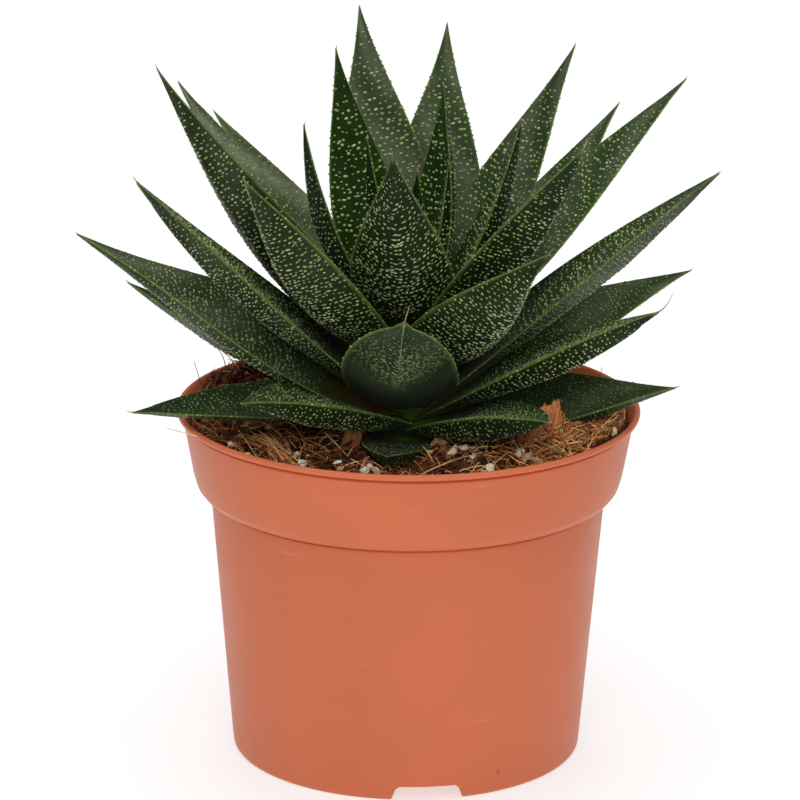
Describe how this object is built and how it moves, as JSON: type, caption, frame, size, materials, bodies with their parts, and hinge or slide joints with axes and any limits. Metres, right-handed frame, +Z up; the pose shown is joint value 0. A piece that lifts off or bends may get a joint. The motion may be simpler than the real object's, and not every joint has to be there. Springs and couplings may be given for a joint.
{
  "type": "potted succulent",
  "caption": "Rosette of thick, keeled, pointed succulent leaves with pale tubercles, growing in coir soil in a tapered round plastic nursery pot.",
  "frame": {"origin": "middle of the pot's underside, on the flat of its centre foot", "axes": "+Z up along the pot's axis, -Y to the front of the pictured side, +X to the right"},
  "size_m": [0.1628, 0.1405, 0.188],
  "materials": {
    "leaf": "dark green, softly glossy, with pale raised dots",
    "stem": "matte pale green",
    "pot": "satin terracotta-coloured plastic",
    "soil": "rough coir, bark and perlite"
  },
  "bodies": {
    "root": {"pot": "pot", "soil": "soil", "stem": "stem", "leaf_front_lowest": "leaf", "leaf_rear_lowest": "leaf", "leaf_left_lowest": "leaf", "leaf_right_lowest": "leaf", "leaf_rear_left_lowest": "leaf", "leaf_rear_right_lowest": "leaf", "leaf_front_left_low": "leaf", "leaf_front_right_low": "leaf", "leaf_rear_right_low": "leaf", "leaf_left_low_far": "leaf", "leaf_right_low_far": "leaf", "leaf_rear_left_low": "leaf", "leaf_right_low": "leaf", "leaf_right_middle": "leaf", "leaf_front_middle": "leaf", "leaf_rear_right_middle": "leaf", "leaf_rear_middle": "leaf", "leaf_left_middle": "leaf", "leaf_left_front_middle": "leaf", "leaf_rear_left_middle": "leaf", "leaf_front_right_middle": "leaf", "leaf_back_tall": "leaf", "leaf_left_tall": "leaf", "leaf_front_left_tall": "leaf", "leaf_right_tall": "leaf", "leaf_rear_left_tall": "leaf", "leaf_back_right_tall": "leaf", "leaf_back_left_tall": "leaf", "leaf_front_right_tall": "leaf", "leaf_front_upright": "leaf", "leaf_right_slender": "leaf", "leaf_back_left_upright": "leaf", "leaf_left_slender": "leaf", "leaf_back_upright": "leaf", "leaf_heart_left": "leaf", "leaf_heart_right": "leaf", "leaf_heart_front": "leaf"}
  },
  "joints": []
}
